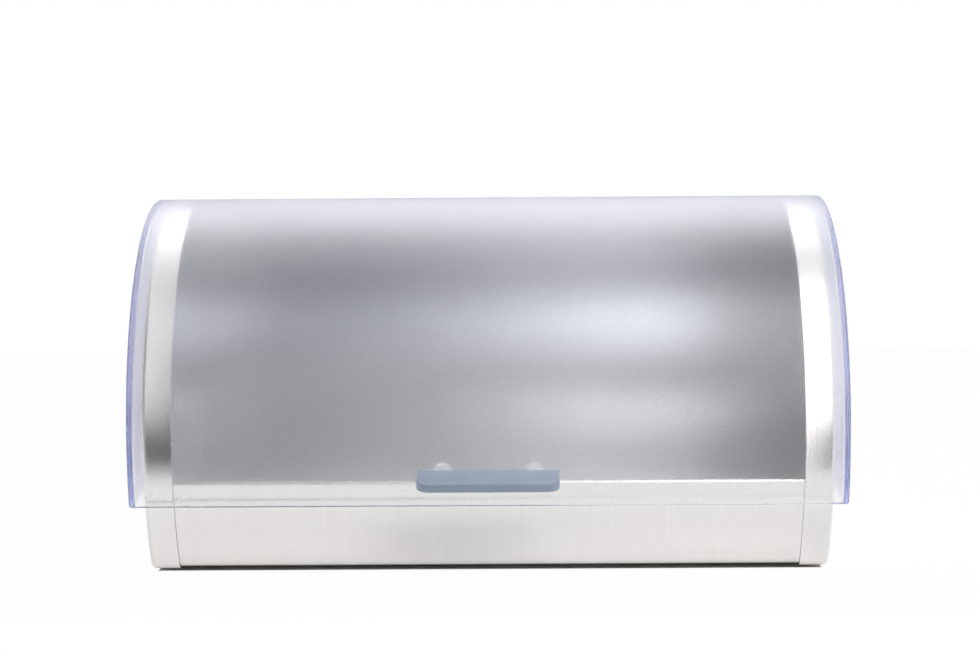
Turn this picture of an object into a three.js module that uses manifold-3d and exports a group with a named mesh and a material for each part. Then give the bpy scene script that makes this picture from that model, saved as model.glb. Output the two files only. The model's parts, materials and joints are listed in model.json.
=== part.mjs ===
// Bread box: a brushed steel body with a frosted cover that swings up and back over it.
//
// Millimetres, +Z up, front towards -Y. The pieces are drawn about the pivot axis, which runs along X
// through the centre of the cover's arc, and the finished group is then stood on z = 0.
// Angles about the pivot are in degrees: 0 points to the front, 90 straight up, 180 to the back.

import * as THREE from "three";
import { mergeVertices } from "three/addons/utils/BufferGeometryUtils.js";
import Module from "manifold-3d";

const wasm = await Module();
wasm.setup();

// ---------------------------------------------------------------- driving dimensions

// Cover
const LID_WIDTH = 390; // over the outer faces of the cheeks
const LID_RADIUS = 128; // outer face of the curved sheet
const LID_WALL = 3;
const LID_FRONT_ANGLE = -18.6; // lower front edge, closed
const LID_REAR_ANGLE = 96; // rear edge, closed
const LID_EDGE_ROUND = 2.2; // outer edge between the curved sheet and a cheek
const LID_INNER_ROUND = 1.6;
const HUB_RADIUS = 17; // rounded end of each cheek, round the pivot
const OPENING_ANGLE = 90; // how far the cover swings

// Body
const RADIAL_GAP = 2.4; // air between the cover's inner face and the body
const SIDE_GAP = 4.75; // air between a cheek and the end cap
const PIVOT_HEIGHT = 78; // pivot axis above the underside of the body
const SHEET = 0.8; // steel sheet
const CAP_ROUND = 5.2; // pressed edge of the end caps
const RIM_WIDTH = 16; // band of the end cap that wraps over the panels
const FRONT_ROUND = 9; // profile corner where the apron turns under
const REAR_ROUND = 12; // profile corner at the foot of the back
const HEM_RADIUS = 1.1; // rolled edges of the apron and of the top
const FLANGE = 15; // under-flanges of the apron and of the back panel
const RIB_WIDTH = 9; // ribs pressed into the floor
const RIB_HEIGHT = 1.2;
const RIB_COUNT = 3;

// Vents in the back
const VENT_RADIUS = 2;
const VENT_PITCH = 12;
const VENT_COUNT = 6; // in each of the two rows
const VENT_FROM_RIM = 49.25; // plain sheet between a row's outer vent and the end cap's rim
const VENT_HEIGHT = 18; // rows of vents below the level of the pivot

// Feet
const FOOT_RADIUS = 8;
const FOOT_FROM_RIM = 15.25; // plain floor between a foot and the end cap's rim
const FOOT_STANDS = 1.6; // body's underside above the table
const FOOT_NECK = 2.4;

// Handle and what holds it
const HANDLE_WIDTH = 76;
const HANDLE_REACH = 26.5; // out from the cover
const HANDLE_THICK = 4.9;
const HANDLE_ANGLE = -10.2;
const HANDLE_CORNER = 7.2;
const HANDLE_EDGE = 0.9;
const SCREW_FROM_END = 13; // from an end of the handle to the nearer screw's axis
const SCREW_RADIUS = 1.3;
const SCREW_HEAD_RADIUS = 2.8;
const SCREW_HEAD_HEIGHT = 1.8;
const SCREW_BITE = 12; // length of screw inside the handle
const BUMPER_RADIUS = 5.2;
const BUMPER_HEIGHT = 4.3;

// Hinge
const THREAD_RADIUS = 2.5;
const SHOULDER_RADIUS = 3.5;
const PIN_HEAD_RADIUS = 8;
const PIN_HEAD_HEIGHT = 2.6;
const PIN_SOCKET = 2.3;
const BUSH_WALL = 1.2;
const BUSH_FLANGE_RADIUS = 9;
const BUSH_FLANGE = 1.4;
const WASHER_RADIUS = 7;
const WASHER_THICK = 1;
const NUT_RADIUS = 4.7; // over the corners of the hexagon
const NUT_HEX_HEIGHT = 4;
const NUT_DOME_HEIGHT = 3.4;

// Clearances
const FIT = 0.3; // between pieces that touch or pass through each other
const RUNNING_FIT = 0.08; // hinge pin in its bush

// How closely facets follow an arc
const CHORD_ERROR = 0.1;
const SMALL_SIDES = 24; // sides of turned pieces
const HOLE_SIDES = 10; // sides of vents and screw holes

// ---------------------------------------------------------------- values that follow

const BODY_RADIUS = LID_RADIUS - LID_WALL - RADIAL_GAP;
const CHEEK_INNER = LID_WIDTH / 2 - LID_WALL;
const CAP_FACE = CHEEK_INNER - SIDE_GAP; // outer face of an end cap, from the middle
const CAP_INNER = CAP_FACE - SHEET;
const RIM_EDGE = CAP_FACE - RIM_WIDTH;
const PANEL_INSET = SHEET + FIT; // panels lie just inside the rims of the end caps
const PANEL_WIDTH = 2 * (CAP_FACE - CAP_ROUND - FIT);
const HEM_CENTRE = BODY_RADIUS - PANEL_INSET - SHEET / 2;
const STOP_TURN = THREE.MathUtils.radToDeg((BUMPER_RADIUS + HEM_RADIUS + FIT) / HEM_CENTRE);
const APRON_ANGLE = HANDLE_ANGLE - STOP_TURN; // the bumpers rest on the apron's hem
const TOP_ANGLE = HANDLE_ANGLE + OPENING_ANGLE + STOP_TURN; // and meet the top's hem when open
const SCREW_X = HANDLE_WIDTH / 2 - SCREW_FROM_END; // screws and bumpers, from the middle
const FLOOR_Z = FIT + 2 * SHEET + FIT + SHEET - PIVOT_HEIGHT; // upper face of the floor sheet
const BUSH_BORE = SHOULDER_RADIUS + RUNNING_FIT;
const BUSH_RADIUS = BUSH_BORE + BUSH_WALL;

const STEEL = { color: 0xd9d6d2, roughness: 0.32, metalness: 1 };
const FROSTED = { color: 0xdfe1ea, roughness: 0.55, metalness: 0, transparent: true, opacity: 0.45 };
const SLATE = { color: 0x8797ab, roughness: 0.35, metalness: 0 };
const WHITE_PLASTIC = { color: 0xf0f0ee, roughness: 0.4, metalness: 0 };
const BRIGHT_STEEL = { color: 0xc9c9cb, roughness: 0.2, metalness: 1 };
const RUBBER = { color: 0x2b2b2d, roughness: 0.85, metalness: 0 };

// ---------------------------------------------------------------- outlines and solids

const radians = THREE.MathUtils.degToRad;

// A point of the side view, as (y, z), at an angle about the pivot.
function polar(radius, angle) {
  return new THREE.Vector2(-radius * Math.cos(radians(angle)), radius * Math.sin(radians(angle)));
}

// Points along an arc of the side view. Its angles are in radians, counter-clockwise from +Y.
function arcPoints(y, z, radius, from, to) {
  const step = 2 * Math.acos(1 - CHORD_ERROR / Math.max(radius, CHORD_ERROR));
  const count = Math.max(2, Math.ceil(Math.abs(to - from) / step));
  return new THREE.ArcCurve(y, z, radius, from, to, to < from).getPoints(count);
}

// Points along an arc about the pivot, between two angles of the side view.
function pivotArc(radius, from, to) {
  return arcPoints(0, 0, radius, Math.PI - radians(from), Math.PI - radians(to));
}

// Corner numbers without the triangles that shrink to a line where a turned piece meets its axis.
function withoutSlivers(corners) {
  const kept = [];
  for (let at = 0; at < corners.length; at += 3) {
    const [a, b, c] = corners.subarray(at, at + 3);
    if (a !== b && b !== c && c !== a) kept.push(a, b, c);
  }
  return kept;
}

// A closed three.js geometry as a solid that can be joined and cut.
function toSolid(geometry) {
  geometry.deleteAttribute("normal");
  geometry.deleteAttribute("uv");
  const merged = mergeVertices(geometry, 1e-4);
  const triVerts = new Uint32Array(withoutSlivers(merged.index.array));
  const vertProperties = new Float32Array(merged.attributes.position.array);
  return new wasm.Manifold(new wasm.Mesh({ numProp: 3, vertProperties, triVerts }));
}

// A solid back as a geometry for a mesh.
function toGeometry(solid) {
  const { vertProperties, triVerts } = solid.getMesh();
  const geometry = new THREE.BufferGeometry();
  geometry.setAttribute("position", new THREE.BufferAttribute(vertProperties, 3));
  geometry.setIndex(new THREE.BufferAttribute(triVerts, 1));
  geometry.computeVertexNormals();
  return geometry;
}

// A side-view outline drawn out along X, centred on x = 0, with its end edges rounded.
function sideExtrusion(points, width, round = 0) {
  const geometry = new THREE.ExtrudeGeometry(new THREE.Shape(points), {
    depth: width - 2 * round,
    bevelEnabled: round > 0,
    bevelThickness: round,
    bevelSize: round,
    bevelOffset: -round,
    bevelSegments: 4,
  });
  geometry.translate(0, 0, round - width / 2);
  const side = new THREE.Vector3(1, 0, 0);
  const back = new THREE.Vector3(0, 1, 0);
  const up = new THREE.Vector3(0, 0, 1);
  return geometry.applyMatrix4(new THREE.Matrix4().makeBasis(back, up, side));
}

// A cylinder along X, centred at a point of the side view.
function crossRod(radius, length, y, z, sides) {
  return new THREE.CylinderGeometry(radius, radius, length, sides)
    .rotateZ(Math.PI / 2)
    .translate(0, y, z);
}

// A round piece turned about local Y from a closed profile of [radius, height] pairs.
function turned(profile) {
  const points = profile.map(([radius, height]) => new THREE.Vector2(radius, height));
  points.push(points[0].clone());
  return new THREE.LatheGeometry(points, SMALL_SIDES);
}

// A quarter of a rounded edge for a turned profile, from the side (0) to the end (90 degrees).
function roundedEdge(radius, height, round, direction) {
  return [0, 30, 60, 90].map((angle) => [
    radius - round + round * Math.cos(radians(angle)),
    height + direction * round * (Math.sin(radians(angle)) - 1),
  ]);
}

function piece(name, geometry, look) {
  const closed = toSolid(geometry);
  const mesh = new THREE.Mesh(toGeometry(closed), new THREE.MeshStandardMaterial(look));
  mesh.name = name;
  return mesh;
}

// ---------------------------------------------------------------- body

// The body's side view, drawn in by an inset: round at the front and top, flat at the back and below.
function bodyOutline(inset) {
  const radius = BODY_RADIUS - inset;
  const frontRound = FRONT_ROUND - inset;
  const rearRound = REAR_ROUND - inset;
  const front = frontCorner(inset);
  return [
    ...arcPoints(0, 0, radius, 0, front.turn),
    ...arcPoints(front.y, front.z, frontRound, front.turn, 1.5 * Math.PI).slice(1),
    ...arcPoints(radius - rearRound, inset + rearRound - PIVOT_HEIGHT, rearRound, -0.5 * Math.PI, 0),
  ];
}

// Centre of the front lower corner and the direction in which it meets the round front.
function frontCorner(inset) {
  const reach = BODY_RADIUS - FRONT_ROUND;
  const z = FRONT_ROUND - PIVOT_HEIGHT;
  const y = -Math.sqrt(reach ** 2 - z ** 2);
  return { y, z, turn: 2 * Math.PI + Math.atan2(z, y), radius: FRONT_ROUND - inset };
}

// The two end caps are pressed shells: the rounded body with its inside taken out, cut off at the rims.
function endCap(side) {
  const outer = toSolid(sideExtrusion(bodyOutline(0), 2 * CAP_FACE, CAP_ROUND));
  const inner = toSolid(sideExtrusion(bodyOutline(SHEET), 2 * CAP_INNER, CAP_ROUND - SHEET));
  const span = 2 * BODY_RADIUS + RIM_WIDTH;
  const slab = new THREE.BoxGeometry(2 * RIM_WIDTH, span, span);
  slab.translate(side * (RIM_EDGE + RIM_WIDTH), 0, 0);
  const pinHole = toSolid(crossRod(THREAD_RADIUS + FIT, 2 * LID_WIDTH, 0, 0, HOLE_SIDES));
  return toGeometry(outer.subtract(inner).intersect(toSolid(slab)).subtract(pinHole));
}

// A sheet in side view: its outer face there, its inner face back.
function sheetOutline(outerFace, innerFace) {
  return [...outerFace, ...innerFace.slice().reverse()];
}

// The rolled edge of a panel, between the rims of the end caps.
function hem(angle) {
  const centre = polar(HEM_CENTRE, angle);
  const length = 2 * (RIM_EDGE - FIT);
  return toSolid(crossRod(HEM_RADIUS, length, centre.x, centre.y, HOLE_SIDES));
}

// One face of the apron, from its hem down the round front and under to the flange's end.
function apronFace(inset) {
  const front = frontCorner(inset);
  const hemTurn = Math.PI - radians(APRON_ANGLE);
  return [
    ...arcPoints(0, 0, BODY_RADIUS - inset, hemTurn, front.turn),
    ...arcPoints(front.y, front.z, front.radius, front.turn, 1.5 * Math.PI).slice(1),
    new THREE.Vector2(front.y + FLANGE, inset - PIVOT_HEIGHT),
  ];
}

function frontApron() {
  const outline = sheetOutline(apronFace(PANEL_INSET), apronFace(PANEL_INSET + SHEET));
  return toGeometry(toSolid(sideExtrusion(outline, PANEL_WIDTH)).add(hem(APRON_ANGLE)));
}

// One face of the back panel, from its hem over the top, down the back and under.
function backFace(inset) {
  const radius = BODY_RADIUS - inset;
  const round = REAR_ROUND - inset;
  const cornerY = BODY_RADIUS - REAR_ROUND;
  const cornerZ = REAR_ROUND - PIVOT_HEIGHT;
  return [
    ...pivotArc(radius, TOP_ANGLE, 180),
    ...arcPoints(cornerY, cornerZ, round, 0, -0.5 * Math.PI),
    new THREE.Vector2(cornerY - FLANGE, inset - PIVOT_HEIGHT),
  ];
}

function backPanel() {
  const outline = sheetOutline(backFace(PANEL_INSET), backFace(PANEL_INSET + SHEET));
  let panel = toSolid(sideExtrusion(outline, PANEL_WIDTH)).add(hem(TOP_ANGLE));
  const outerVent = RIM_EDGE - VENT_FROM_RIM - VENT_RADIUS;
  for (const side of [-1, 1]) {
    for (let vent = 0; vent < VENT_COUNT; vent += 1) {
      const x = side * (outerVent - vent * VENT_PITCH);
      const drill = new THREE.CylinderGeometry(VENT_RADIUS, VENT_RADIUS, 4 * REAR_ROUND, HOLE_SIDES);
      panel = panel.subtract(toSolid(drill.translate(x, BODY_RADIUS, -VENT_HEIGHT)));
    }
  }
  return toGeometry(panel);
}

// Where the floor sheet begins and ends, from front to back.
function floorSpan() {
  const front = frontCorner(0);
  return { from: front.y, to: BODY_RADIUS - REAR_ROUND };
}

// The floor in side view: a flat sheet with low ribs pressed up, spaced evenly from front to back.
function floorFace(z) {
  const { from, to } = floorSpan();
  const points = [new THREE.Vector2(from, z)];
  const slope = RIB_HEIGHT;
  for (let rib = 1; rib <= RIB_COUNT; rib += 1) {
    const middle = from + ((to - from) * rib) / (RIB_COUNT + 1);
    points.push(new THREE.Vector2(middle - RIB_WIDTH / 2, z));
    points.push(new THREE.Vector2(middle - RIB_WIDTH / 2 + slope, z + RIB_HEIGHT));
    points.push(new THREE.Vector2(middle + RIB_WIDTH / 2 - slope, z + RIB_HEIGHT));
    points.push(new THREE.Vector2(middle + RIB_WIDTH / 2, z));
  }
  points.push(new THREE.Vector2(to, z));
  return points;
}

// The feet stand just clear of the under-flanges, and in from the rims of the end caps.
function footPlaces() {
  const { from, to } = floorSpan();
  const inset = FLANGE + FOOT_RADIUS + 2 * FIT;
  const rows = { front: from + inset, rear: to - inset };
  const outward = RIM_EDGE - FOOT_FROM_RIM - FOOT_RADIUS;
  const sides = { left: -outward, right: outward };
  return Object.entries(rows).flatMap(([row, y]) =>
    Object.entries(sides).map(([side, x]) => ({ name: `foot_${row}_${side}`, x, y })),
  );
}

function basePanel() {
  const outline = sheetOutline(floorFace(FLOOR_Z - SHEET), floorFace(FLOOR_Z));
  let panel = toSolid(sideExtrusion(outline, PANEL_WIDTH));
  for (const { x, y } of footPlaces()) {
    const radius = FOOT_NECK + FIT;
    const drill = new THREE.CylinderGeometry(radius, radius, 4 * RIB_WIDTH, HOLE_SIDES);
    panel = panel.subtract(toSolid(drill.rotateX(Math.PI / 2).translate(x, y, FLOOR_Z)));
  }
  return toGeometry(panel);
}

// A push-in foot, turned about its own axis with its sole at height 0.
function foot() {
  const shoulder = FLOOR_Z - SHEET - FIT + PIVOT_HEIGHT + FOOT_STANDS;
  const hold = shoulder + SHEET + 2 * FIT;
  const headRadius = FOOT_NECK + 1.4;
  return turned([
    [0, 0],
    ...roundedEdge(FOOT_RADIUS, 0, FOOT_STANDS / 2, -1).reverse(),
    [FOOT_RADIUS, shoulder],
    [FOOT_NECK, shoulder],
    [FOOT_NECK, hold],
    [headRadius, hold],
    [FOOT_NECK, hold + 1.6],
    [0, hold + 1.6],
  ]);
}

// ---------------------------------------------------------------- cover

// The cover's side view: a sector whose straight edges run on to the round hub at the pivot.
function lidOutline() {
  const tangent = THREE.MathUtils.radToDeg(Math.acos(HUB_RADIUS / LID_RADIUS));
  return [
    ...pivotArc(LID_RADIUS, LID_FRONT_ANGLE, LID_REAR_ANGLE),
    ...pivotArc(HUB_RADIUS, LID_REAR_ANGLE + tangent, 360 + LID_FRONT_ANGLE - tangent),
  ];
}

// The inside of the cover is a drum about the pivot, which leaves the curved sheet and the two cheeks.
function lidCover() {
  const outer = toSolid(sideExtrusion(lidOutline(), LID_WIDTH, LID_EDGE_ROUND));
  const drum = pivotArc(LID_RADIUS - LID_WALL, 0, 360).slice(1);
  const inner = toSolid(sideExtrusion(drum, 2 * CHEEK_INNER, LID_INNER_ROUND));
  const pivotHole = toSolid(crossRod(BUSH_RADIUS + FIT, 2 * LID_WIDTH, 0, 0, SMALL_SIDES));
  let cover = outer.subtract(inner).subtract(pivotHole);
  for (const x of [-SCREW_X, SCREW_X]) {
    const radius = SCREW_RADIUS + FIT;
    const drill = new THREE.CylinderGeometry(radius, radius, 4 * LID_WALL, HOLE_SIDES);
    drill.translate(x, LID_RADIUS, 0).rotateX(Math.PI - radians(HANDLE_ANGLE));
    cover = cover.subtract(toSolid(drill));
  }
  return toGeometry(cover);
}

// The handle's plate, drawn flat: X along the cover, Y out from the pivot, Z through its thickness.
function handlePlate() {
  const half = HANDLE_WIDTH / 2;
  const root = LID_RADIUS + FIT;
  const tip = root + HANDLE_REACH;
  const plan = [
    new THREE.Vector2(-half, root),
    new THREE.Vector2(half, root),
    ...arcPoints(half - HANDLE_CORNER, tip - HANDLE_CORNER, HANDLE_CORNER, 0, Math.PI / 2),
    ...arcPoints(HANDLE_CORNER - half, tip - HANDLE_CORNER, HANDLE_CORNER, Math.PI / 2, Math.PI),
  ];
  const plate = new THREE.ExtrudeGeometry(new THREE.Shape(plan), {
    depth: HANDLE_THICK - 2 * HANDLE_EDGE,
    bevelThickness: HANDLE_EDGE,
    bevelSize: HANDLE_EDGE,
    bevelOffset: -HANDLE_EDGE,
    bevelSegments: 3,
  });
  plate.translate(0, 0, HANDLE_EDGE - HANDLE_THICK / 2);
  let solid = toSolid(plate);
  for (const x of [-SCREW_X, SCREW_X]) {
    const radius = SCREW_RADIUS + FIT;
    const drill = new THREE.CylinderGeometry(radius, radius, 2 * (SCREW_BITE + 1), HOLE_SIDES);
    solid = solid.subtract(toSolid(drill.translate(x, root, 0)));
  }
  return toGeometry(solid);
}

// Radius at which a bumper's flat back clears the curved inner face of the cover.
function bumperSeat() {
  return Math.sqrt((LID_RADIUS - LID_WALL) ** 2 - BUMPER_RADIUS ** 2) - FIT;
}

// A cap with a recess for the screw's head, turned about the screw's axis.
function bumper() {
  const seat = bumperSeat();
  const crown = seat - BUMPER_HEIGHT;
  const bore = SCREW_RADIUS + FIT;
  const recess = SCREW_HEAD_RADIUS + FIT;
  const recessFloor = crown + SCREW_HEAD_HEIGHT + FIT;
  return turned([
    [bore, seat],
    [bore, recessFloor],
    [recess, recessFloor],
    [recess, crown],
    ...roundedEdge(BUMPER_RADIUS, crown, BUMPER_RADIUS - recess - FIT, -1).reverse(),
    [BUMPER_RADIUS, seat],
  ]);
}

function handleScrew() {
  const headTop = bumperSeat() - BUMPER_HEIGHT;
  const underHead = headTop + SCREW_HEAD_HEIGHT;
  const tip = LID_RADIUS + FIT + SCREW_BITE;
  return turned([
    [0, headTop],
    ...roundedEdge(SCREW_HEAD_RADIUS, headTop, SCREW_HEAD_HEIGHT / 2, -1).reverse(),
    [SCREW_HEAD_RADIUS, underHead],
    [SCREW_RADIUS, underHead],
    [SCREW_RADIUS, tip - SCREW_RADIUS],
    [0, tip],
  ]);
}

// ---------------------------------------------------------------- hinge, outwards along local Y

function hingeStack() {
  const shoulder = CAP_FACE + FIT;
  const bushFace = CHEEK_INNER - FIT - BUSH_FLANGE;
  const bushEnd = LID_WIDTH / 2 + FIT;
  const washerFace = CAP_INNER - FIT;
  const nutFace = washerFace - WASHER_THICK - FIT;
  return { shoulder, bushFace, bushEnd, washerFace, nutFace };
}

function hingePin() {
  const { shoulder, bushEnd, nutFace } = hingeStack();
  const head = bushEnd + FIT;
  const crown = head + PIN_HEAD_HEIGHT;
  const pin = turned([
    [0, nutFace - NUT_HEX_HEIGHT],
    [THREAD_RADIUS, nutFace - NUT_HEX_HEIGHT],
    [THREAD_RADIUS, shoulder],
    [SHOULDER_RADIUS, shoulder],
    [SHOULDER_RADIUS, head],
    [PIN_HEAD_RADIUS, head],
    ...roundedEdge(PIN_HEAD_RADIUS, crown, PIN_HEAD_HEIGHT * 0.8, 1),
    [0, crown],
  ]);
  const socket = new THREE.CylinderGeometry(PIN_SOCKET, PIN_SOCKET, PIN_HEAD_HEIGHT, 6);
  return toGeometry(toSolid(pin).subtract(toSolid(socket.translate(0, crown, 0))));
}

function hingeSpacer() {
  const { shoulder, bushFace } = hingeStack();
  const bore = SHOULDER_RADIUS + FIT;
  const far = bushFace - FIT;
  return turned([
    [bore, shoulder],
    [BUSH_FLANGE_RADIUS, shoulder],
    [BUSH_FLANGE_RADIUS, far],
    [bore, far],
  ]);
}

function hingeBush() {
  const { bushFace, bushEnd } = hingeStack();
  return turned([
    [BUSH_BORE, bushFace],
    [BUSH_FLANGE_RADIUS, bushFace],
    [BUSH_FLANGE_RADIUS, bushFace + BUSH_FLANGE],
    [BUSH_RADIUS, bushFace + BUSH_FLANGE],
    [BUSH_RADIUS, bushEnd],
    [BUSH_BORE, bushEnd],
  ]);
}

function hingeWasher() {
  const { washerFace } = hingeStack();
  const bore = THREAD_RADIUS + FIT;
  return turned([
    [bore, washerFace - WASHER_THICK],
    [WASHER_RADIUS, washerFace - WASHER_THICK],
    [WASHER_RADIUS, washerFace],
    [bore, washerFace],
  ]);
}

// A domed nut, open towards the end cap.
function hingeNut() {
  const { nutFace } = hingeStack();
  const base = nutFace - NUT_HEX_HEIGHT;
  const hex = new THREE.CylinderGeometry(NUT_RADIUS, NUT_RADIUS, NUT_HEX_HEIGHT, 6);
  hex.translate(0, nutFace - NUT_HEX_HEIGHT / 2, 0);
  const domeRadius = NUT_RADIUS * Math.cos(Math.PI / 6) - FIT;
  const dome = turned([
    [0, base - NUT_DOME_HEIGHT],
    ...roundedEdge(domeRadius, base - NUT_DOME_HEIGHT, NUT_DOME_HEIGHT * 0.9, -1).reverse(),
    [domeRadius, base + FIT],
    [0, base + FIT],
  ]);
  const depth = 2 * (NUT_HEX_HEIGHT + FIT);
  const drill = new THREE.CylinderGeometry(THREAD_RADIUS + FIT, THREAD_RADIUS + FIT, depth, SMALL_SIDES);
  drill.translate(0, nutFace, 0);
  return toGeometry(toSolid(hex).add(toSolid(dome)).subtract(toSolid(drill)));
}

// ---------------------------------------------------------------- assembly

function buildBody() {
  const body = new THREE.Group();
  body.add(piece("end_cap_left", endCap(-1), STEEL));
  body.add(piece("end_cap_right", endCap(1), STEEL));
  body.add(piece("front_apron", frontApron(), STEEL));
  body.add(piece("base_panel", basePanel(), STEEL));
  body.add(piece("back_panel", backPanel(), STEEL));
  for (const { name, x, y } of footPlaces()) {
    const mesh = piece(name, foot(), RUBBER);
    mesh.rotation.x = Math.PI / 2;
    mesh.position.set(x, y, -PIVOT_HEIGHT - FOOT_STANDS);
    body.add(mesh);
  }
  return body;
}

function buildCover() {
  const cover = new THREE.Group();
  cover.add(piece("lid_cover", lidCover(), FROSTED));
  const radial = new THREE.Group();
  radial.rotation.x = Math.PI - radians(HANDLE_ANGLE);
  radial.add(piece("handle", handlePlate(), SLATE));
  for (const [side, x] of [["left", -SCREW_X], ["right", SCREW_X]]) {
    const screw = piece(`handle_screw_${side}`, handleScrew(), BRIGHT_STEEL);
    const cap = piece(`bumper_${side}`, bumper(), WHITE_PLASTIC);
    screw.position.x = x;
    cap.position.x = x;
    radial.add(screw, cap);
  }
  cover.add(radial);
  return cover;
}

function buildHinge(side, direction) {
  const hinge = new THREE.Group();
  hinge.rotation.z = (-direction * Math.PI) / 2;
  hinge.add(piece(`hinge_pin_${side}`, hingePin(), BRIGHT_STEEL));
  hinge.add(piece(`hinge_spacer_${side}`, hingeSpacer(), WHITE_PLASTIC));
  hinge.add(piece(`hinge_bush_${side}`, hingeBush(), WHITE_PLASTIC));
  hinge.add(piece(`hinge_washer_${side}`, hingeWasher(), BRIGHT_STEEL));
  hinge.add(piece(`hinge_nut_${side}`, hingeNut(), BRIGHT_STEEL));
  return hinge;
}

const breadBox = new THREE.Group();
breadBox.add(buildBody(), buildCover(), buildHinge("left", -1), buildHinge("right", 1));

// Stand it on z = 0 with its footprint centred on the origin.
const bounds = new THREE.Box3().setFromObject(breadBox, true);
const middle = bounds.getCenter(new THREE.Vector3());
breadBox.position.set(-middle.x, -middle.y, -bounds.min.z);

export default breadBox;
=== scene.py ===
"""Looks of a bread box: a brushed steel body under a frosted cover that swings up and back over it.

Metres, +Z up, front towards -Y. Side-view points are (y, z) pairs, and side-view angles are in degrees:
0 points to the front, 90 straight up, 180 to the back.
"""

import json
import math

import bmesh
import bpy
from mathutils import Matrix, Vector


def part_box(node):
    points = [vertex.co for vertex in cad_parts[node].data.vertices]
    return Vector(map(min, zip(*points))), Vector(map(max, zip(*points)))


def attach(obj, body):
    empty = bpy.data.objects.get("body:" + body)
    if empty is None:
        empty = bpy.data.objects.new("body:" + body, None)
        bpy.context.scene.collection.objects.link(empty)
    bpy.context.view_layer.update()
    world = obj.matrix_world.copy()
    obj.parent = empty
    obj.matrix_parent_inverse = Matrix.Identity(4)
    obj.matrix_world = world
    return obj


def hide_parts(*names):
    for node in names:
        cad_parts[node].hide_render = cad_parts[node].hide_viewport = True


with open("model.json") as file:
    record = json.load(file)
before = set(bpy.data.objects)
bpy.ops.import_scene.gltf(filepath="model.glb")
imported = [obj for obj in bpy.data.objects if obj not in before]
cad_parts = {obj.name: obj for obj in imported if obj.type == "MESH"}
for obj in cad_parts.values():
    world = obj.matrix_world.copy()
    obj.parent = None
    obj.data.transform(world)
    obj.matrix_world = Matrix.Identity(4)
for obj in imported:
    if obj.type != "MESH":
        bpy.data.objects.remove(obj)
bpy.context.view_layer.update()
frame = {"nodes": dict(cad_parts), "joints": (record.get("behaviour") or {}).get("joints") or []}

MM = 0.001
QUARTER_TURN = math.pi / 2
SIDES = {"left": -1, "right": 1}

# ---------------------------------------------------------------- sizes that the frame gives

HINGE = Vector(frame["joints"][0]["pos_m"])
HINGE_POINT = (HINGE.y, HINGE.z)
_, LID_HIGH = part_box("lid_cover")
CAP_LOW, CAP_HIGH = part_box("end_cap_right")
_, PANEL_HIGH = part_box("back_panel")

LID_RADIUS = LID_HIGH.z - HINGE.z
CHEEK_FACE = LID_HIGH.x
CAP_FACE = CAP_HIGH.x
RIM_EDGE = CAP_LOW.x
BODY_RADIUS = CAP_HIGH.z - HINGE.z
BODY_BOTTOM = CAP_LOW.z
PANEL_END = PANEL_HIGH.x
PANEL_INSET = CAP_HIGH.z - PANEL_HIGH.z

# ---------------------------------------------------------------- sizes of the dressed pieces

LID_WALL = 3 * MM
LID_FRONT = -18.6  # degrees, lower front edge
LID_REAR = 96  # degrees, rear edge
LID_EDGE_ROUND = 2.2 * MM  # where the curved sheet meets a cheek, outside
LID_INNER_ROUND = 1.6 * MM  # the same corner inside
LID_RIM_ROUND = 0.7 * MM  # along the free edges
HUB_RADIUS = 17 * MM
BUSH_HOLE = 5.1 * MM  # radius

SHEET = 0.8 * MM
CAP_ROUND = 3 * MM
CAP_RIM_STEP = 0.2 * MM  # from the outer to the inner edge of the rim
BOLT_HOLE = 2.8 * MM  # radius
FRONT_ROUND = 9 * MM
REAR_ROUND = 12 * MM
FLANGE = 15 * MM

APRON_HEM = -13.32  # degrees, rolled edge of the apron
TOP_HEM = 82.92  # degrees, rolled edge of the top
HEM_RADIUS = 1.1 * MM
HEM_END = RIM_EDGE - 0.3 * MM
HEM_FADE = 0.5 * MM  # length in which the roll shrinks to the bare edge
BARE_EDGE = SHEET / 2 * 1.02  # radius, just over half the sheet

VENT_RADIUS = 2 * MM
VENT_PITCH = 12 * MM
VENT_COUNT = 6
VENT_OUTER = RIM_EDGE - 51.25 * MM
VENT_DROP = 18 * MM  # below the hinge
FLAT_AREA = 0.01  # square metres: only the flat of the back has larger faces

HANDLE_ANGLE = -10.2  # degrees
HANDLE_REACH = 26.5 * MM
HANDLE_THICK = 4.9 * MM
HANDLE_CORNER = 7.2 * MM
HANDLE_EDGE = 0.9 * MM
HANDLE_FIT = 0.3 * MM  # clearance of handle and bumpers from the cover

BUMPER_RADIUS = 5.2 * MM
BUMPER_HEIGHT = 4.3 * MM
BUMPER_ROUND = 1.8 * MM
BUMPER_BORE = 1.6 * MM
RECESS_RADIUS = 3.1 * MM
RECESS_DEPTH = 2.1 * MM

SCREW_X = 25 * MM
SCREW_RADIUS = 1.3 * MM
SCREW_DEPTH = 12 * MM  # in the handle
HEAD_RADIUS = 2.8 * MM
HEAD_HEIGHT = 1.8 * MM
HEAD_ROUND = 0.9 * MM

# ---------------------------------------------------------------- facets of round forms

COVER_STEPS = 96
COVER_ROUND_STEPS = 6
HUB_STEPS = 28
CAP_STEPS = 120
CAP_ROUND_STEPS = 8
APRON_STEPS = 24
TOP_STEPS = 60
FRONT_CORNER_STEPS = 8
REAR_CORNER_STEPS = 10
ROLL_STEPS = 20
HANDLE_CORNER_STEPS = 10
BUMPER_STEPS = 48
SCREW_STEPS = 32
HOLE_SIDES = 32
VENT_SIDES = 24
SAME_POINT = 0.002 * MM
SHARP_FOLD = 32  # degrees between faces, from which an edge shows
SHARP_RIM = 40  # the same on pieces whose edges are rounded

# ---------------------------------------------------------------- surfaces

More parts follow.
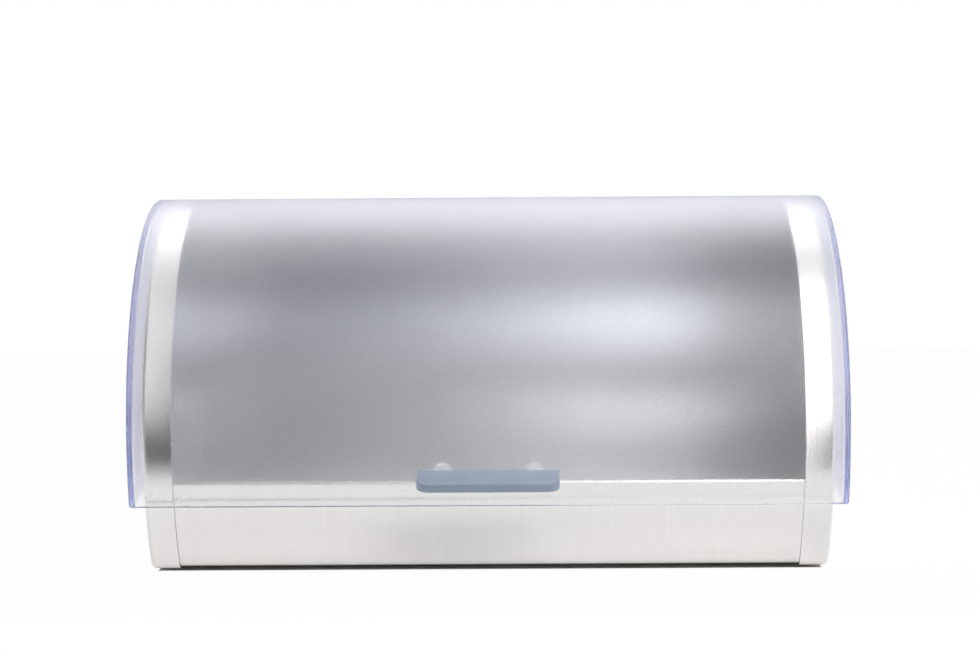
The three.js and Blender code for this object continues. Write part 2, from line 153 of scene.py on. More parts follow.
BRUSHED_OVER = (1500, 6, 6)  # noise cells to the metre along X, Y and Z: brushed up and over
BRUSHED_LEVEL = (8, 700, 8)
TURNED_ALL_ROUND = (500, 500, 500)
STEEL_ROUGHNESS = (0.14, 0.2)
BRUSH_RELIEF = (0.25, 0.03 * MM)  # strength and depth
FROST_CELLS = (1100, 1100, 1100)
FROST_RELIEF = (0.7, 0.2 * MM)
SATIN_FACE = 0.29  # roughness of the cover outside
SMOOTH_FACE = 0.08  # roughness of the cover inside
SHADED_INSIDE_TO = 60  # degrees from straight inward, up to which an end cap's faces are its inside, which gets painted shade
CLOUD_CELLS = (60, 60, 60)
GRAIN_CELLS = (2500, 2500, 2500)
GRAIN_RELIEF = (0.15, 0.05 * MM)

# ---------------------------------------------------------------- studio

CAMERA_OFFSET = (0.0116, -1.3122, 0.1070)  # from the hinge
CAMERA_PAN = 0.528  # degrees
CAMERA_TILT = -2.396
CAMERA_ROLL = -0.385
SOFT_LIGHT = 0.55
SKY_SHADE = (-0.1, 0.5)  # slopes between which the sky in steel rises from SOFT_LIGHT to white

TABLE_EDGE = -0.225
TABLE_HALF = 1.6
TABLE_DEPTH = 2.4
TABLE_LIFT = 0.1 * MM
TABLE_WHITE = 0.95
TABLE_IN_STEEL = (0.95, 0.25)  # share of its white that steel sees, in front and at the box; the lower share at the box is painted shade
TABLE_SHADE = (-0.17, -0.105)  # y between which that share falls: painted shade under the box's front

SCREEN_Y = -1.6
SCREEN_HALF = 1.8
SCREEN_BOTTOM = -0.8
SCREEN_TOP = 1.8
# Heights on the front screen and how bright it is there: at its far left, left of the middle, in the
# middle and at its right.
SCREEN_EDGE = ((SCREEN_BOTTOM, 0.4), (-0.35, 0.04), (-0.1, 0.22), (0.15, 0.7), (0.55, 1.0), (SCREEN_TOP, 1.0))
SCREEN_DARK = ((SCREEN_BOTTOM, 0.0), (SCREEN_TOP, 0.0))
SCREEN_MIDDLE = ((SCREEN_BOTTOM, 1.6), (-0.3, 2.0), (0.0, 2.1), (0.6, 2.4), (SCREEN_TOP, 2.6))
SCREEN_RIGHT = ((SCREEN_BOTTOM, 0.0), (-0.35, 0.15), (-0.1, 0.4), (0.12, 1.2), (0.5, 3.0), (SCREEN_TOP, 3.2))
# Where one of them gives way to the next, from and to.
SCREEN_TURNS = ((-0.44, -0.36), (-0.16, 0.16), (0.37, 0.44))
TOP_LEVEL = 3.2
SCREEN_LIGHT = 0.28  # share of its brightness that it gives as light
SIDE_DEPTH = 2.6
SIDE_LEVEL = {"left": 0.3, "right": 0.85}
CEILING_CORNER = (-0.38, SCREEN_Y, 2)
CEILING_WIDTH = 0.36
CEILING_DEPTH = 1.4
CEILING_LEVEL = 0.1

# Sockets of a Mix node that mixes colours.
COLOUR_A = 6
COLOUR_B = 7
COLOUR_RESULT = 2


# ---------------------------------------------------------------- side-view outlines


def at_angle(centre, radius, angle):
    """The side-view point that lies so far from a centre, in the direction of the angle."""
    turn = math.radians(angle)
    return (centre[0] - radius * math.cos(turn), centre[1] + radius * math.sin(turn))


def around(centre, radius, start, end, steps):
    """Points on an arc of the side view."""
    return [at_angle(centre, radius, start + (end - start) * step / steps) for step in range(steps + 1)]


def front_corner():
    """Centre of the corner where the round front turns under, and the angle at which it begins."""
    height = BODY_BOTTOM + FRONT_ROUND - HINGE.z
    reach = BODY_RADIUS - FRONT_ROUND
    centre = (HINGE.y - math.sqrt(reach**2 - height**2), BODY_BOTTOM + FRONT_ROUND)
    return centre, math.degrees(math.asin(height / reach))


def rear_corner():
    """Centre of the corner where the flat back turns under."""
    return (HINGE.y + BODY_RADIUS - REAR_ROUND, BODY_BOTTOM + REAR_ROUND)


def body_outline(inset):
    """The end cap's closed outline: from the back over the top, down the front and back along the floor."""
    corner, turn = front_corner()
    return [
        *around(HINGE_POINT, BODY_RADIUS - inset, 180, turn, CAP_STEPS),
        *around(corner, FRONT_ROUND - inset, turn, -90, FRONT_CORNER_STEPS)[1:],
        *around(rear_corner(), REAR_ROUND - inset, -90, -180, REAR_CORNER_STEPS),
    ]


def apron_face(inset):
    """One face of the apron, from its hem down the front and under to the end of its flange."""
    corner, turn = front_corner()
    return [
        *around(HINGE_POINT, BODY_RADIUS - inset, APRON_HEM, turn, APRON_STEPS),
        *around(corner, FRONT_ROUND - inset, turn, -90, FRONT_CORNER_STEPS)[1:],
        (corner[0] + FLANGE, BODY_BOTTOM + inset),
    ]


def back_face(inset):
    """One face of the back panel, from its hem over the top and down the back to the end of its flange."""
    corner = rear_corner()
    return [
        *around(HINGE_POINT, BODY_RADIUS - inset, TOP_HEM, 180, TOP_STEPS),
        *around(corner, REAR_ROUND - inset, 180, 270, REAR_CORNER_STEPS),
        (corner[0] - FLANGE, BODY_BOTTOM + inset),
    ]


def sheet_section(face, hem_angle, roll_radius):
    """A sheet's closed section: both its faces, joined at the hem by a roll of the given radius."""
    centre = at_angle(HINGE_POINT, BODY_RADIUS - PANEL_INSET - SHEET / 2, hem_angle)
    neck = math.degrees(math.asin(SHEET / 2 / roll_radius))
    turn = 1 if hem_angle > 0 else -1
    toward_sheet = hem_angle + 90 * turn
    start = toward_sheet + turn * neck
    end = toward_sheet + turn * (360 - neck)
    roll = around(centre, roll_radius, start, end, ROLL_STEPS)
    outer = face(PANEL_INSET)[1:]
    inner = face(PANEL_INSET + SHEET)[1:]
    return [*reversed(outer), *reversed(roll), *inner]


# ---------------------------------------------------------------- shaping


def closed_ring(bm, points, x):
    """A closed chain of edges through side-view points at one x."""
    verts = [bm.verts.new((x, y, z)) for y, z in points]
    return [bm.edges.new(pair) for pair in zip(verts, verts[1:] + verts[:1])]


def loft(bm, rings):
    """Walls through a row of closed rings."""
    for near, far in zip(rings, rings[1:]):
        bmesh.ops.bridge_loops(bm, edges=near + far)


def fill_flat(bm, edges):
    """A flat face inside closed rings, with holes where rings lie inside rings."""
    bmesh.ops.triangle_fill(bm, use_beauty=True, use_dissolve=False, edges=edges)


def hole_ring(bm, place, radius, sides=HOLE_SIDES):
    """The round edge of a hole, put where a matrix says."""
    made = bmesh.ops.create_circle(bm, cap_ends=False, radius=radius, segments=sides, matrix=place)
    return list({edge for vert in made["verts"] for edge in vert.link_edges})


def across_hinge(x):
    """Place of a circle about the hinge's axis."""
    return Matrix.Translation((x, HINGE.y, HINGE.z)) @ Matrix.Rotation(QUARTER_TURN, 4, "Y")


def out_from_cover(x=0):
    """Place of a piece whose own Z points out from the hinge at the handle's angle."""
    lean = QUARTER_TURN - math.radians(HANDLE_ANGLE)
    return Matrix.Translation((x, HINGE.y, HINGE.z)) @ Matrix.Rotation(lean, 4, "X")


def round_edges(bm, edges, radius, segments, clamp=False):
    """Takes the sharpness off edges."""
    bmesh.ops.bevel(
        bm,
        geom=edges,
        offset=radius,
        offset_type="OFFSET",
        segments=segments,
        profile=0.5,
        affect="EDGES",
        material=-1,
        clamp_overlap=clamp,
    )


def finished(name, bm, sharp_angle=SHARP_FOLD):
    """Makes the shaped mesh an object of that name, closed, facing outwards and smooth but for its edges."""
    bmesh.ops.remove_doubles(bm, verts=bm.verts, dist=SAME_POINT)
    bmesh.ops.recalc_face_normals(bm, faces=bm.faces)
    mesh = bpy.data.meshes.new(name)
    bm.to_mesh(mesh)
    bm.free()
    mesh.shade_smooth()
    mesh.set_sharp_from_angle(angle=math.radians(sharp_angle))
    piece = bpy.data.objects.new(name, mesh)
    bpy.context.scene.collection.objects.link(piece)
    return piece


def turned(name, profile, place, steps):
    """A piece turned about its own Z from a profile of (radius, height) pairs, then put in place."""
    bm = bmesh.new()
    verts = [bm.verts.new((radius, 0, height)) for radius, height in profile]
    pairs = zip(verts, verts[1:] + verts[:1])
    # An edge on the axis would turn into faces without area.
    edges = [bm.edges.new(pair) for pair in pairs if pair[0].co.x > 0 or pair[1].co.x > 0]
    bmesh.ops.spin(
        bm,
        geom=verts + edges,
        cent=(0, 0, 0),
        axis=(0, 0, 1),
        angle=math.tau,
        steps=steps,
        use_merge=True,
    )
    bmesh.ops.transform(bm, matrix=place, verts=bm.verts)
    return finished(name, bm)


def rounded_end(radius, height, rounding, steps=4):
    """The rounded edge of a turned profile, from its end at that height out to its side."""
    turns = [QUARTER_TURN * step / steps for step in reversed(range(steps + 1))]
    return [
        (radius - rounding + rounding * math.cos(turn), height + rounding * (1 - math.sin(turn)))
        for turn in turns
    ]


# ---------------------------------------------------------------- steel body


def make_end_cap(name, side):
    """A pressed end: a flat face with a hole for the hinge, a rounded edge and a rim over the panels."""
    bm = bmesh.new()
    skins = []
    for inset, rim_edge in ((0, RIM_EDGE), (SHEET, RIM_EDGE + CAP_RIM_STEP)):
        face = CAP_FACE - inset
        rounding = CAP_ROUND - inset
        rings = [closed_ring(bm, body_outline(inset), side * rim_edge)]
        for step in range(CAP_ROUND_STEPS + 1):
            turn = QUARTER_TURN * step / CAP_ROUND_STEPS
            drawn_in = inset + rounding * (1 - math.cos(turn))
            x = face - rounding * (1 - math.sin(turn))
            rings.append(closed_ring(bm, body_outline(drawn_in), side * x))
        loft(bm, rings)
        hole = hole_ring(bm, across_hinge(side * face), BOLT_HOLE)
        fill_flat(bm, rings[-1] + hole)
        skins.append((rings[0], hole))
    for outer, inner in zip(*skins):
        loft(bm, [outer, inner])
    return finished(name, bm)


def make_panel(face, hem_angle):
    """The shape of a bent sheet, with a rolled edge between the rims and bare edges under them."""
    bm = bmesh.new()
    rolled = sheet_section(face, hem_angle, HEM_RADIUS)
    bare = sheet_section(face, hem_angle, BARE_EDGE)
    right = [(HEM_END, rolled), (HEM_END + HEM_FADE, bare), (PANEL_END, bare)]
    left = [(-x, section) for x, section in reversed(right)]
    rings = [closed_ring(bm, section, x) for x, section in left + right]
    loft(bm, rings)
    for end in (rings[0], rings[-1]):
        bmesh.ops.edgenet_fill(bm, edges=end)
    return bm


def vent_rings(bm, y):
    """The round edges of all vents on one face of the back."""
    rings = []
    for side in SIDES.values():
        for vent in range(VENT_COUNT):
            centre = (side * (VENT_OUTER - vent * VENT_PITCH), y, HINGE.z - VENT_DROP)
            place = Matrix.Translation(centre) @ Matrix.Rotation(QUARTER_TURN, 4, "X")
            rings.append(hole_ring(bm, place, VENT_RADIUS, VENT_SIDES))
    return rings


def pierce_vents(bm):
    """Two rows of round vents through the flat of the back."""
    flats = [face for face in bm.faces if face.calc_area() > FLAT_AREA]
    skins = []
    for flat in flats:
        boundary = list(flat.edges)
        holes = vent_rings(bm, flat.calc_center_median().y)
        bmesh.ops.delete(bm, geom=[flat], context="FACES_ONLY")
        fill_flat(bm, boundary + [edge for hole in holes for edge in hole])
        skins.append(holes)
    for outer, inner in zip(*skins):
        loft(bm, [outer, inner])


# ---------------------------------------------------------------- cover


def cheek_outline(radius):
    """A cheek's closed outline: its arc, then the straight edges to the round hub."""
    tangent = math.degrees(math.acos(HUB_RADIUS / LID_RADIUS))
    return [
        *around(HINGE_POINT, radius, LID_FRONT, LID_REAR, COVER_STEPS),
        *around(HINGE_POINT, HUB_RADIUS, LID_REAR + tangent, 360 + LID_FRONT - tangent, HUB_STEPS),
    ]


def curved_sheet(bm, radius, cheek_face, rounding):
    """One face of the cover's curve, with the corners that lead into the cheeks."""
    corner = []
    for step in range(COVER_ROUND_STEPS + 1):
        turn = QUARTER_TURN * step / COVER_ROUND_STEPS
        x = cheek_face - rounding * (1 - math.cos(turn))
        y, z = at_angle(HINGE_POINT, radius - rounding * (1 - math.sin(turn)), LID_FRONT)
        corner.append((x, y, z))
    front = corner + [(-x, y, z) for x, y, z in reversed(corner)]
    verts = [bm.verts.new(point) for point in front]
    edges = [bm.edges.new(pair) for pair in zip(verts, verts[1:])]
    bmesh.ops.spin(
        bm,
        geom=verts + edges,
        cent=HINGE,
        axis=(-1, 0, 0),
        angle=math.radians(LID_REAR - LID_FRONT),
        steps=COVER_STEPS,
        use_merge=False,
    )


def cover_skin(bm, radius, cheek_face, rounding):
    """One face of the cover: its curve and a cheek at each end. Gives the edges of the cheeks' holes."""
    curved_sheet(bm, radius, cheek_face, rounding)
    holes = []
    for side in SIDES.values():
        x = side * cheek_face
        outline = closed_ring(bm, cheek_outline(radius - rounding), x)
        hole = hole_ring(bm, across_hinge(x), BUSH_HOLE)
        fill_flat(bm, outline + hole)
        holes.append(hole)
    return holes


def make_cover(name):
    """A moulded shell: a curved sheet and two cheeks of even wall, open at the front, back and below."""
    bm = bmesh.new()
    outer_holes = cover_skin(bm, LID_RADIUS, CHEEK_FACE, LID_EDGE_ROUND)
    inner_holes = cover_skin(bm, LID_RADIUS - LID_WALL, CHEEK_FACE - LID_WALL, LID_INNER_ROUND)
    for outer, inner in zip(outer_holes, inner_holes):
        loft(bm, [outer, inner])
    bmesh.ops.remove_doubles(bm, verts=bm.verts, dist=SAME_POINT)
    rims = [edge for edge in bm.edges if edge.is_boundary]
    bmesh.ops.bridge_loops(bm, edges=rims)
    bmesh.ops.recalc_face_normals(bm, faces=bm.faces)
    round_edges(bm, rims, LID_RIM_ROUND, segments=3, clamp=True)
    return finished(name, bm, SHARP_RIM)


# ---------------------------------------------------------------- handle and what holds it


def handle_plan():
    """The handle's outline as (x, distance from the hinge) pairs: square at the cover, round in front."""
    low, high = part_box("handle")
    half = (high.x - low.x) / 2
    root = LID_RADIUS + HANDLE_FIT
    centre = root + HANDLE_REACH - HANDLE_CORNER
    plan = [(-half, root), (half, root)]
    for side, start in ((1, 0), (-1, QUARTER_TURN)):
        for step in range(HANDLE_CORNER_STEPS + 1):
            turn = start + QUARTER_TURN * step / HANDLE_CORNER_STEPS
            x = side * (half - HANDLE_CORNER) + HANDLE_CORNER * math.cos(turn)
            plan.append((x, centre + HANDLE_CORNER * math.sin(turn)))
    return plan


def make_handle(name):
    """A flat grip with round front corners and softly rounded edges, standing out of the cover."""
    bm = bmesh.new()
    plate = bm.faces.new([bm.verts.new((x, -HANDLE_THICK / 2, out)) for x, out in handle_plan()])
    raised = bmesh.ops.extrude_face_region(bm, geom=[plate])["geom"]
    raised_verts = [item for item in raised if isinstance(item, bmesh.types.BMVert)]
    bmesh.ops.translate(bm, verts=raised_verts, vec=(0, HANDLE_THICK, 0))
    bmesh.ops.recalc_face_normals(bm, faces=bm.faces)
    folds = [edge for edge in bm.edges if edge.calc_face_angle(0) > math.radians(SHARP_RIM)]
    outline = [edge for edge in folds if abs(edge.verts[0].co.y - edge.verts[1].co.y) < MM]
    round_edges(bm, outline, HANDLE_EDGE, segments=5)
    bmesh.ops.transform(bm, matrix=out_from_cover(), verts=bm.verts)
    return finished(name, bm, SHARP_RIM)


def bumper_ends():
    """How far from the hinge a bumper's crown and its seat on the cover are."""
    seat = math.sqrt((LID_RADIUS - LID_WALL) ** 2 - BUMPER_RADIUS**2) - HANDLE_FIT
    return seat - BUMPER_HEIGHT, seat


def make_bumper(name, x):
    """A white cap with a recess for the screw's head."""
    crown, seat = bumper_ends()
    profile = [
        (BUMPER_BORE, seat),
        (BUMPER_BORE, crown + RECESS_DEPTH),
        (RECESS_RADIUS, crown + RECESS_DEPTH),
        (RECESS_RADIUS, crown),
        *rounded_end(BUMPER_RADIUS, crown, BUMPER_ROUND),
        (BUMPER_RADIUS, seat),
    ]
    return turned(name, profile, out_from_cover(x), BUMPER_STEPS)


def make_screw(name, x):
    """A pan-head screw through the bumper and the cover into the handle."""
    head, _ = bumper_ends()
    tip = LID_RADIUS + HANDLE_FIT + SCREW_DEPTH
    profile = [
        (0, head),
        *rounded_end(HEAD_RADIUS, head, HEAD_ROUND),
        (HEAD_RADIUS, head + HEAD_HEIGHT),
        (SCREW_RADIUS, head + HEAD_HEIGHT),
        (SCREW_RADIUS, tip - SCREW_RADIUS),
        (0, tip),
    ]
    return turned(name, profile, out_from_cover(x), SCREW_STEPS)


# ---------------------------------------------------------------- finishes


def new_finish(name):
    """A material with one shader, and its node tree."""
    material = bpy.data.materials.new(name)
    material.use_nodes = True
    tree = material.node_tree
    return material, tree, tree.nodes["Principled BSDF"]


def speckle(tree, cells, detail):
    """Noise on the piece's own coordinates, with so many cells to the metre along X, Y and Z."""
    place = tree.nodes.new("ShaderNodeTexCoord")
    mapping = tree.nodes.new("ShaderNodeMapping")
    mapping.inputs["Scale"].default_value = cells
    noise = tree.nodes.new("ShaderNodeTexNoise")
    noise.inputs["Scale"].default_value = 1
    noise.inputs["Detail"].default_value = detail
    noise.inputs["Roughness"].default_value = 0.6
    tree.links.new(place.outputs["Object"], mapping.inputs["Vector"])
    tree.links.new(mapping.outputs["Vector"], noise.inputs["Vector"])
    return noise.outputs["Fac"]


def shaded_between(tree, factor, low, high, span=(0.3, 0.7)):
    """A colour that runs from low to high as the factor crosses the span."""
    ramp = tree.nodes.new("ShaderNodeValToRGB")
    for element, position, colour in zip(ramp.color_ramp.elements, span, (low, high)):
        element.position = position
        element.color = (*colour, 1)
    tree.links.new(factor, ramp.inputs["Fac"])
    return ramp.outputs["Color"]


def spread(tree, factor, low, high, span=(0.3, 0.7)):
    """A number that runs from low to high as the factor crosses the span."""
    remap = tree.nodes.new("ShaderNodeMapRange")
    remap.inputs["From Min"].default_value = span[0]
    remap.inputs["From Max"].default_value = span[1]
    remap.inputs["To Min"].default_value = low
    remap.inputs["To Max"].default_value = high
    tree.links.new(factor, remap.inputs["Value"])
    return remap.outputs["Result"]


def relief(tree, height, strength, depth):
    """A surface that rises and falls with the height."""
    bump = tree.nodes.new("ShaderNodeBump")
    bump.inputs["Strength"].default_value = strength
    bump.inputs["Distance"].default_value = depth
    tree.links.new(height, bump.inputs["Height"])
    return bump.outputs["Normal"]


def brushed_steel(name, cells, tone_low, tone_high):
    """Steel brushed along the axes that have few cells to the metre."""
    material, tree, shader = new_finish(name)
    lines = speckle(tree, cells, detail=4)
    tree.links.new(shaded_between(tree, lines, tone_low, tone_high), shader.inputs["Base Color"])
    tree.links.new(spread(tree, lines, *STEEL_ROUGHNESS), shader.inputs["Roughness"])
    tree.links.new(relief(tree, lines, *BRUSH_RELIEF), shader.inputs["Normal"])
    shader.inputs["Metallic"].default_value = 1
    return material


def from_hinge(tree):
    """How far a point of the piece lies from the hinge's axis."""
    place = tree.nodes.new("ShaderNodeTexCoord")
    out = tree.nodes.new("ShaderNodeVectorMath")
    out.operation = "SUBTRACT"
    out.inputs[1].default_value = HINGE
    across = tree.nodes.new("ShaderNodeVectorMath")
    across.operation = "MULTIPLY"
    across.inputs[1].default_value = (0, 1, 1)
    reach = tree.nodes.new("ShaderNodeVectorMath")
    reach.operation = "LENGTH"
    tree.links.new(place.outputs["Object"], out.inputs[0])
    tree.links.new(out.outputs["Vector"], across.inputs[0])
    tree.links.new(across.outputs["Vector"], reach.inputs[0])
    return reach.outputs["Value"]


def frosted_plastic(name):
    """Clear plastic, satin outside and smooth inside, with a bluish bloom and a blue tint in its depth."""
    material, tree, shader = new_finish(name)
    specks = speckle(tree, FROST_CELLS, detail=0)
    tone = shaded_between(tree, specks, (0.9, 0.9, 0.905), (1, 1, 1), span=(0.42, 0.58))
    tree.links.new(tone, shader.inputs["Base Color"])
    wall = (LID_RADIUS - LID_WALL, LID_RADIUS)
    satin = spread(tree, from_hinge(tree), SMOOTH_FACE, SATIN_FACE, span=wall)
    tree.links.new(satin, shader.inputs["Roughness"])
    grain = speckle(tree, FROST_CELLS, detail=2)
    tree.links.new(relief(tree, grain, *FROST_RELIEF), shader.inputs["Normal"])
    shader.inputs["Transmission Weight"].default_value = 1
    shader.inputs["IOR"].default_value = 1.49
    shader.inputs["Sheen Weight"].default_value = 0.6
    shader.inputs["Sheen Roughness"].default_value = 0.4
    shader.inputs["Sheen Tint"].default_value = (0.7, 0.74, 1, 1)
    depth = tree.nodes.new("ShaderNodeVolumeAbsorption")
    depth.inputs["Color"].default_value = (0.3, 0.37, 0.95, 1)
    depth.inputs["Density"].default_value = 3.5
    tree.links.new(depth.outputs["Volume"], tree.nodes["Material Output"].inputs["Volume"])
    return material


def moulded_plastic(name, tone_low, tone_high, roughness):
    """Solid plastic or rubber with a faint cloudiness and a fine moulded grain."""
    material, tree, shader = new_finish(name)
    cloud = speckle(tree, CLOUD_CELLS, detail=3)
    grain = speckle(tree, GRAIN_CELLS, detail=2)
    tree.links.new(shaded_between(tree, cloud, tone_low, tone_high), shader.inputs["Base Color"])
    tree.links.new(relief(tree, grain, *GRAIN_RELIEF), shader.inputs["Normal"])
    shader.inputs["Roughness"].default_value = roughness
    return material


panel_steel = brushed_steel("panel_steel", BRUSHED_OVER, (0.87, 0.85, 0.83), (0.91, 0.895, 0.88))
back_steel = brushed_steel("back_steel", BRUSHED_OVER, (0.88, 0.872, 0.88), (0.92, 0.912, 0.92))
# Dark steel for the floor of the box: painted shade inside the box, not a different steel.
floor_steel_painted_shade = brushed_steel("floor_steel_painted_shade", BRUSHED_OVER, (0.46, 0.48, 0.52), (0.52, 0.54, 0.58))
# Dark steel for the end caps' inner faces: painted shade inside the box, not a different steel.
inner_steel_painted_shade = brushed_steel("inner_steel_painted_shade", BRUSHED_LEVEL, (0.3, 0.3, 0.31), (0.38, 0.38, 0.39))
turned_steel = brushed_steel("turned_steel", TURNED_ALL_ROUND, (0.68, 0.68, 0.69), (0.76, 0.76, 0.77))
frosted = frosted_plastic("frosted_plastic")
slate = moulded_plastic("slate_plastic", (0.37, 0.455, 0.575), (0.41, 0.5, 0.63), 0.3)
white = moulded_plastic("white_plastic", (0.9, 0.9, 0.89), (0.94, 0.94, 0.93), 0.4)
rubber = moulded_plastic("foot_rubber", (0.02, 0.02, 0.022), (0.04, 0.04, 0.043), 0.8)


# ---------------------------------------------------------------- dressing the frame


def dress(piece, finish, body):
    """A new piece stands for the CAD node whose name it has before _skin."""
    node = piece.name.removesuffix("_skin")
    piece.data.materials.append(finish)
    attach(piece, body)
    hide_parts(node)


def paint_shade_inside(cap, side, finish):
    """The inner face of an end cap gets a darker steel than its outside: painted shade inside the box."""
    cap.data.materials.append(finish)
    inward = Vector((-side, 0, 0))
    for face in cap.data.polygons:
        if face.normal.angle(inward) < math.radians(SHADED_INSIDE_TO):
            face.material_index = 1


def dress_node(node, finish):
    """A CAD node whose shape is right keeps it and gets the finish."""
    frame["nodes"][node].material_slots[0].material = finish


for side_name, side in SIDES.items():
    cap = make_end_cap(f"end_cap_{side_name}_skin", side)
    dress(cap, panel_steel, "box")
    paint_shade_inside(cap, side, inner_steel_painted_shade)

apron = make_panel(apron_face, APRON_HEM)
dress(finished("front_apron_skin", apron), panel_steel, "box")
back = make_panel(back_face, TOP_HEM)
pierce_vents(back)
dress(finished("back_panel_skin", back), back_steel, "box")
dress(make_cover("lid_cover_skin"), frosted, "cover")

dress(make_handle("handle_skin"), slate, "cover")
for side_name, side in SIDES.items():
    dress(make_bumper(f"bumper_{side_name}_skin", side * SCREW_X), white, "cover")
    dress(make_screw(f"handle_screw_{side_name}_skin", side * SCREW_X), turned_steel, "cover")

dress_node("base_panel", floor_steel_painted_shade)
for side_name in SIDES:
    for kind in ("pin", "washer", "nut"):
        dress_node(f"hinge_{kind}_{side_name}", turned_steel)
    for kind in ("spacer", "bush"):
        dress_node(f"hinge_{kind}_{side_name}", white)
    for row in ("front", "rear"):
        dress_node(f"foot_{row}_{side_name}", rubber)


# ---------------------------------------------------------------- studio


def make_camera():
    """A long lens, almost level with the box and a little to the right of its middle."""
    camera = bpy.data.cameras.new("camera")
    camera.sensor_width = 36
    camera.lens = 81.52
    camera.clip_start = 0.05
    camera.clip_end = 20
    view = bpy.data.objects.new("camera", camera)
    bpy.context.scene.collection.objects.link(view)
    view.location = HINGE + Vector(CAMERA_OFFSET)
    turn = (
        Matrix.Rotation(math.radians(CAMERA_PAN), 4, "Z")
        @ Matrix.Rotation(math.radians(90 + CAMERA_TILT), 4, "X")
        @ Matrix.Rotation(math.radians(CAMERA_ROLL), 4, "Z")
    )
    view.rotation_euler = turn.to_euler()
    bpy.context.scene.camera = view


def combined(tree, operation, first, second):
    """A number worked out from two others."""
    node = tree.nodes.new("ShaderNodeMath")
    node.operation = operation
    tree.links.new(first, node.inputs[0])
    tree.links.new(second, node.inputs[1])
    return node.outputs[0]


def by_ray(tree, low, high, in_steel=None):
    """A number that is low for light, and high for rays from the camera and through glass.

    Rays from metal get high too, or as much of the way to it as in_steel says.
    """
    path = tree.nodes.new("ShaderNodeLightPath")
    seen = path.outputs["Is Glossy Ray"]
    if in_steel:
        seen = combined(tree, "MULTIPLY", seen, in_steel)
    for kind in ("Is Camera Ray", "Is Transmission Ray"):
        seen = combined(tree, "MAXIMUM", seen, path.outputs[kind])
    return spread(tree, seen, low, high, (0, 1))


def along_axis(tree, coordinates, axis):
    """One coordinate of the point that is shaded."""
    place = tree.nodes.new("ShaderNodeTexCoord")
    axes = tree.nodes.new("ShaderNodeSeparateXYZ")
    tree.links.new(place.outputs[coordinates], axes.inputs[0])
    return axes.outputs[axis]


def light_world():
    """Even soft light, behind it plain white. Steel shows it greyer towards the horizon."""
    world = bpy.data.worlds.new("studio")
    bpy.context.scene.world = world
    world.use_nodes = True
    tree = world.node_tree
    sky = tree.nodes["Background"]
    sky.inputs["Color"].default_value = (1, 1, 1, 1)
    in_steel = spread(tree, along_axis(tree, "Generated", "Z"), 0, 1, SKY_SHADE)
    tree.links.new(by_ray(tree, SOFT_LIGHT, 1, in_steel), sky.inputs["Strength"])


def flat_sheet(name, corner, along, up):
    """A flat stage piece from one corner and two sides."""
    bm = bmesh.new()
    start, along, up = Vector(corner), Vector(along), Vector(up)
    bm.faces.new([bm.verts.new(place) for place in (start, start + along, start + along + up, start + up)])
    mesh = bpy.data.meshes.new(name)
    bm.to_mesh(mesh)
    bm.free()
    sheet = bpy.data.objects.new(name, mesh)
    bpy.context.scene.collection.objects.link(sheet)
    return sheet


def bare_finish(name):
    """A material with an output and no shader yet, and its node tree."""
    material = bpy.data.materials.new(name)
    material.use_nodes = True
    tree = material.node_tree
    tree.nodes.clear()
    return material, tree, tree.nodes.new("ShaderNodeOutputMaterial")


def make_table():
    """A white table top that ends a short way in front of the box."""
    table = flat_sheet("table", (-TABLE_HALF, TABLE_EDGE, 0), (2 * TABLE_HALF, 0, 0), (0, TABLE_DEPTH, 0))
    material, tree, out = bare_finish("table_white")
    paint = tree.nodes.new("ShaderNodeBsdfDiffuse")
    paint.inputs["Color"].default_value = (TABLE_WHITE, TABLE_WHITE, TABLE_WHITE, 1)
    glow = tree.nodes.new("ShaderNodeEmission")
    mix = tree.nodes.new("ShaderNodeMixShader")
    # Less glow near the box, so steel sees the table darker there: painted shade under the overhang.
    in_steel = spread(tree, along_axis(tree, "Object", "Y"), *TABLE_IN_STEEL, TABLE_SHADE)
    tree.links.new(by_ray(tree, 0, TABLE_WHITE, in_steel), mix.inputs[0])
    tree.links.new(paint.outputs[0], mix.inputs[1])
    tree.links.new(glow.outputs[0], mix.inputs[2])
    tree.links.new(mix.outputs[0], out.inputs["Surface"])
    table.data.materials.append(material)


def make_table_below():
    """The table right under the box, which keeps its full shadow and is painted a grey far darker than the
    table: painted shade under the box.
    """
    (front, _), _ = front_corner()
    rear, _ = rear_corner()
    half = CAP_FACE - CAP_ROUND
    below = flat_sheet("table_below", (-half, front, TABLE_LIFT), (2 * half, 0, 0), (0, rear - front, 0))
    # The grey is painted shade under the box, on top of the real shadow this sheet keeps.
    below.data.materials.append(moulded_plastic("table_below", (0.5, 0.5, 0.5), (0.55, 0.55, 0.55), 0.6))


def glowing_sheet(name, corner, along, up, low, high):
    """A screen that gives light of strength low and shows in steel and glass at high."""
    screen = flat_sheet(name, corner, along, up)
    material, tree, out = bare_finish(name)
    glow = tree.nodes.new("ShaderNodeEmission")
    tree.links.new(by_ray(tree, low, high), glow.inputs["Strength"])
    tree.links.new(glow.outputs[0], out.inputs["Surface"])
    screen.data.materials.append(material)
    screen.visible_camera = False
    return tree, glow


def height_ramp(tree, height, stops):
    """A grey that follows the height through (height, level) stops, where white is TOP_LEVEL."""
    low, high = stops[0][0], stops[-1][0]
    ramp = tree.nodes.new("ShaderNodeValToRGB")
    ramp.color_ramp.interpolation = "EASE"
    while len(ramp.color_ramp.elements) < len(stops):
        ramp.color_ramp.elements.new(0.5)
    for element, (place, level) in zip(ramp.color_ramp.elements, stops):
        grey = level / TOP_LEVEL
        element.position = (place - low) / (high - low)
        element.color = (grey, grey, grey, 1)
    tree.links.new(spread(tree, height, 0, 1, (low, high)), ramp.inputs["Fac"])
    return ramp.outputs["Color"]


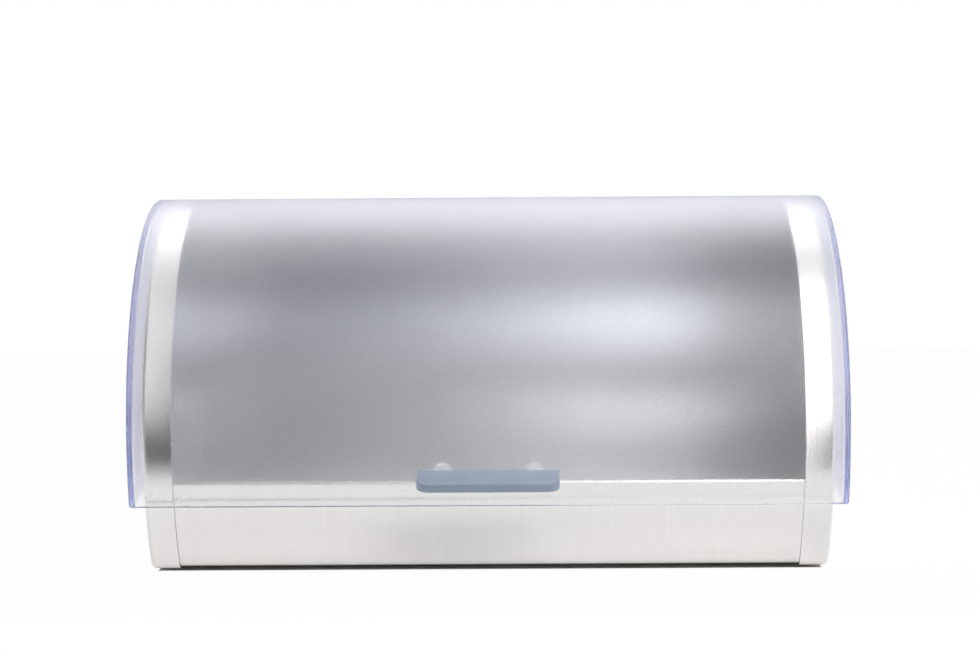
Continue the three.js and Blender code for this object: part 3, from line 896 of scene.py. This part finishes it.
def make_front_screen():
    """A tall graded screen behind the camera: dark left of its middle, bright to the right and higher up."""
    corner = (-SCREEN_HALF, SCREEN_Y, SCREEN_BOTTOM)
    along = (2 * SCREEN_HALF, 0, 0)
    up = (0, 0, SCREEN_TOP - SCREEN_BOTTOM)
    tree, glow = glowing_sheet("front_screen", corner, along, up, TOP_LEVEL * SCREEN_LIGHT, TOP_LEVEL)
    x = along_axis(tree, "Object", "X")
    height = along_axis(tree, "Object", "Z")
    level = height_ramp(tree, height, SCREEN_EDGE)
    for turn, stops in zip(SCREEN_TURNS, (SCREEN_DARK, SCREEN_MIDDLE, SCREEN_RIGHT)):
        across = tree.nodes.new("ShaderNodeMix")
        across.data_type = "RGBA"
        tree.links.new(spread(tree, x, 0, 1, turn), across.inputs["Factor"])
        tree.links.new(level, across.inputs[COLOUR_A])
        tree.links.new(height_ramp(tree, height, stops), across.inputs[COLOUR_B])
        level = across.outputs[COLOUR_RESULT]
    tree.links.new(level, glow.inputs["Color"])


def make_plain_screens():
    """Screens far out at both sides and over the left, that give the steel's curves their edges."""
    along = (0, SIDE_DEPTH, 0)
    up = (0, 0, SCREEN_TOP - SCREEN_BOTTOM)
    for side_name, side in SIDES.items():
        corner = (side * SCREEN_HALF, SCREEN_Y, SCREEN_BOTTOM)
        glowing_sheet(f"side_screen_{side_name}", corner, along, up, SOFT_LIGHT, SIDE_LEVEL[side_name])
    across = (CEILING_WIDTH, 0, 0)
    back = (0, CEILING_DEPTH, 0)
    glowing_sheet("ceiling_screen", CEILING_CORNER, across, back, SOFT_LIGHT, CEILING_LEVEL)


def soft_box(name, place, aim, width, height, brightness):
    """A square lamp of the given brightness, where 1 is white."""
    lamp = bpy.data.lights.new(name, "AREA")
    lamp.shape = "RECTANGLE"
    lamp.size = width
    lamp.size_y = height
    lamp.energy = brightness * math.pi * width * height
    box = bpy.data.objects.new(name, lamp)
    bpy.context.scene.collection.objects.link(box)
    box.location = place
    box.rotation_euler = (Vector(aim) - Vector(place)).to_track_quat("-Z", "Y").to_euler()
    box.visible_camera = False


def set_light_paths():
    """Bounces enough for light that enters through the cover and runs to and fro inside the box."""
    cycles = bpy.context.scene.cycles
    cycles.blur_glossy = 0
    cycles.glossy_bounces = 12
    cycles.max_bounces = 20
    cycles.transmission_bounces = 16


make_camera()
light_world()
make_table()
make_table_below()
make_front_screen()
make_plain_screens()
soft_box("soft_box_top", place=(0.9, -1.1, 1.9), aim=(0.9, 0, 0.1), width=1.6, height=0.9, brightness=2.6)
soft_box("soft_box_back", place=(0, 1.05, 1.7), aim=(0, 0, 0.1), width=2.6, height=1.2, brightness=1.1)
set_light_paths()
bpy.context.scene.view_settings.view_transform = "Standard"
